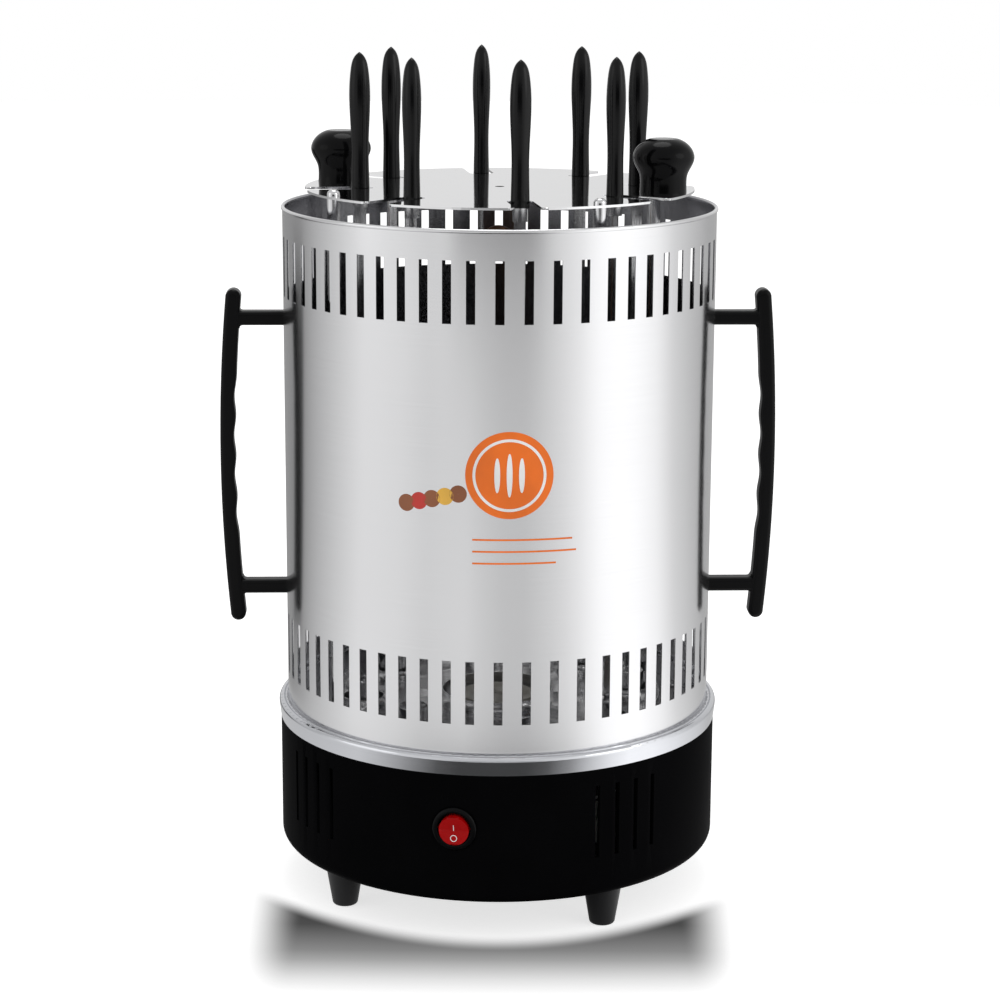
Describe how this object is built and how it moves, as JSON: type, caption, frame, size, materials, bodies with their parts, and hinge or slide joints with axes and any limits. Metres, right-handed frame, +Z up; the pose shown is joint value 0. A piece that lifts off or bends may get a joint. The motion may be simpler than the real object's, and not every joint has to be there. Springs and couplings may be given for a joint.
{
  "type": "electric kebab grill",
  "caption": "Upright electric skewer grill: a drive in a round base turns skewers round a central heater inside a slotted lift-off shell with two side handles.",
  "frame": {"origin": "on the floor, under the middle of the base", "axes": "+Z up; -Y towards the side with the switch; +X to the right seen from that side"},
  "size_m": [0.294, 0.2458, 0.4515],
  "materials": {
    "base_plastic": "satin black",
    "cover_steel": "satin black",
    "foot_rubber": "matte black",
    "screw_steel": "bright",
    "ring_aluminium": "turned and brushed",
    "deck_steel": "brushed",
    "plate_steel": "plain sheet",
    "pillar_steel": "zinc plated",
    "gear_plastic": "natural white nylon",
    "motor_steel": "zinc plated",
    "brass_pinion": "plain",
    "socket_steel": "turned",
    "blade_steel": "polished",
    "grip_plastic": "glossy black",
    "heater_ceramic": "white glazed ceramic",
    "heater_sheath": "temper coloured by heat",
    "tray_steel": "brushed",
    "mirror_steel": "mirror polished",
    "post_steel": "polished",
    "knob_plastic": "glossy black",
    "shell_steel": "brushed stainless",
    "handle_plastic": "satin black",
    "switch_plastic": "glossy black",
    "rocker_red": "translucent red",
    "terminal_plastic": "white"
  },
  "bodies": {
    "base": {"base_housing": "base_plastic", "bottom_cover": "cover_steel", "foot_front_right": "foot_rubber", "foot_rear_right": "foot_rubber", "foot_rear_left": "foot_rubber", "foot_front_left": "foot_rubber", "foot_screws": "screw_steel", "cover_screws": "screw_steel", "base_ring": "ring_aluminium", "deck_plate": "deck_steel", "deck_screws": "screw_steel", "gear_plate": "plate_steel", "drive_pillars": "pillar_steel", "pillar_screws": "screw_steel", "motor_body": "motor_steel", "motor_screws": "screw_steel", "terminal_block": "terminal_plastic", "cord_gland": "base_plastic", "gear_hub": "gear_plastic", "heater_socket": "heater_ceramic", "heater_element": "heater_sheath", "switch_body": "switch_plastic"},
    "rocker": {"switch_rocker": "rocker_red"},
    "tray": {"drip_tray": "tray_steel"},
    "drive": {"drive_gear": "gear_plastic"},
    "pinion": {"motor_pinion": "brass_pinion"},
    "rack": {"top_plate": "mirror_steel", "rack_posts": "post_steel", "cap_nuts": "post_steel", "knob_left": "knob_plastic", "knob_right": "knob_plastic", "knob_screws": "screw_steel"},
    "shell_body": {"shell": "shell_steel", "handle_left": "handle_plastic", "handle_right": "handle_plastic", "handle_screws": "screw_steel"},
    "socket_1": {"skewer_socket_1": "socket_steel"},
    "skewer_1": {"skewer_blade_1": "blade_steel", "skewer_grip_1": "grip_plastic"},
    "socket_2": {"skewer_socket_2": "socket_steel"},
    "skewer_2": {"skewer_blade_2": "blade_steel", "skewer_grip_2": "grip_plastic"},
    "socket_3": {"skewer_socket_3": "socket_steel"},
    "skewer_3": {"skewer_blade_3": "blade_steel", "skewer_grip_3": "grip_plastic"},
    "socket_4": {"skewer_socket_4": "socket_steel"},
    "skewer_4": {"skewer_blade_4": "blade_steel", "skewer_grip_4": "grip_plastic"},
    "socket_5": {"skewer_socket_5": "socket_steel"},
    "skewer_5": {"skewer_blade_5": "blade_steel", "skewer_grip_5": "grip_plastic"},
    "socket_6": {"skewer_socket_6": "socket_steel"},
    "skewer_6": {"skewer_blade_6": "blade_steel", "skewer_grip_6": "grip_plastic"},
    "socket_7": {"skewer_socket_7": "socket_steel"},
    "skewer_7": {"skewer_blade_7": "blade_steel", "skewer_grip_7": "grip_plastic"},
    "socket_8": {"skewer_socket_8": "socket_steel"},
    "skewer_8": {"skewer_blade_8": "blade_steel", "skewer_grip_8": "grip_plastic"}
  },
  "joints": [
    {"name": "drive_spin", "type": "hinge", "parent": "base", "child": "drive", "pos_m": [0, 0, 0.0755], "axis": [0, 0, 1], "continuous": true},
    {"name": "pinion_spin", "type": "hinge", "parent": "base", "child": "pinion", "pos_m": [0.00485, 0.06943, 0.0755], "axis": [0, 0, 1], "continuous": true},
    {"name": "socket_1_spin", "type": "hinge", "parent": "base", "child": "socket_1", "pos_m": [0.02346, -0.07013, 0.0755], "axis": [0, 0, 1], "continuous": true},
    {"name": "skewer_1_lift", "type": "slide", "parent": "socket_1", "child": "skewer_1", "axis": [0, 0, 1], "range_m": [0, 0.29]},
    {"name": "socket_2_spin", "type": "hinge", "parent": "base", "child": "socket_2", "pos_m": [0.06618, -0.033, 0.0755], "axis": [0, 0, 1], "continuous": true},
    {"name": "skewer_2_lift", "type": "slide", "parent": "socket_2", "child": "skewer_2", "axis": [0, 0, 1], "range_m": [0, 0.29]},
    {"name": "socket_3_spin", "type": "hinge", "parent": "base", "child": "socket_3", "pos_m": [0.07013, 0.02346, 0.0755], "axis": [0, 0, 1], "continuous": true},
    {"name": "skewer_3_lift", "type": "slide", "parent": "socket_3", "child": "skewer_3", "axis": [0, 0, 1], "range_m": [0, 0.29]},
    {"name": "socket_4_spin", "type": "hinge", "parent": "base", "child": "socket_4", "pos_m": [0.033, 0.06618, 0.0755], "axis": [0, 0, 1], "continuous": true},
    {"name": "skewer_4_lift", "type": "slide", "parent": "socket_4", "child": "skewer_4", "axis": [0, 0, 1], "range_m": [0, 0.29]},
    {"name": "socket_5_spin", "type": "hinge", "parent": "base", "child": "socket_5", "pos_m": [-0.02346, 0.07013, 0.0755], "axis": [0, 0, 1], "continuous": true},
    {"name": "skewer_5_lift", "type": "slide", "parent": "socket_5", "child": "skewer_5", "axis": [0, 0, 1], "range_m": [0, 0.29]},
    {"name": "socket_6_spin", "type": "hinge", "parent": "base", "child": "socket_6", "pos_m": [-0.06618, 0.033, 0.0755], "axis": [0, 0, 1], "continuous": true},
    {"name": "skewer_6_lift", "type": "slide", "parent": "socket_6", "child": "skewer_6", "axis": [0, 0, 1], "range_m": [0, 0.29]},
    {"name": "socket_7_spin", "type": "hinge", "parent": "base", "child": "socket_7", "pos_m": [-0.07013, -0.02346, 0.0755], "axis": [0, 0, 1], "continuous": true},
    {"name": "skewer_7_lift", "type": "slide", "parent": "socket_7", "child": "skewer_7", "axis": [0, 0, 1], "range_m": [0, 0.29]},
    {"name": "socket_8_spin", "type": "hinge", "parent": "base", "child": "socket_8", "pos_m": [-0.033, -0.06618, 0.0755], "axis": [0, 0, 1], "continuous": true},
    {"name": "skewer_8_lift", "type": "slide", "parent": "socket_8", "child": "skewer_8", "axis": [0, 0, 1], "range_m": [0, 0.29]},
    {"name": "rack_lift", "type": "slide", "parent": "base", "child": "rack", "axis": [0, 0, 1], "range_m": [0, 0.3]},
    {"name": "shell_lift", "type": "slide", "parent": "base", "child": "shell_body", "axis": [0, 0, 1], "range_m": [0, 0.36]},
    {"name": "tray_lift", "type": "slide", "parent": "base", "child": "tray", "axis": [0, 0, 1], "range_m": [0, 0.025]},
    {"name": "rocker_tip", "type": "hinge", "parent": "base", "child": "rocker", "pos_m": [0, -0.1174, 0.0645], "axis": [-1, 0, 0], "range_deg": [0, 14]}
  ],
  "couplings": [
    {"joint": "pinion_spin", "follows": "drive_spin", "ratio": -7},
    {"joint": "socket_1_spin", "follows": "drive_spin", "ratio": -4.6667},
    {"joint": "socket_2_spin", "follows": "drive_spin", "ratio": -4.6667},
    {"joint": "socket_3_spin", "follows": "drive_spin", "ratio": -4.6667},
    {"joint": "socket_4_spin", "follows": "drive_spin", "ratio": -4.6667},
    {"joint": "socket_5_spin", "follows": "drive_spin", "ratio": -4.6667},
    {"joint": "socket_6_spin", "follows": "drive_spin", "ratio": -4.6667},
    {"joint": "socket_7_spin", "follows": "drive_spin", "ratio": -4.6667},
    {"joint": "socket_8_spin", "follows": "drive_spin", "ratio": -4.6667}
  ]
}
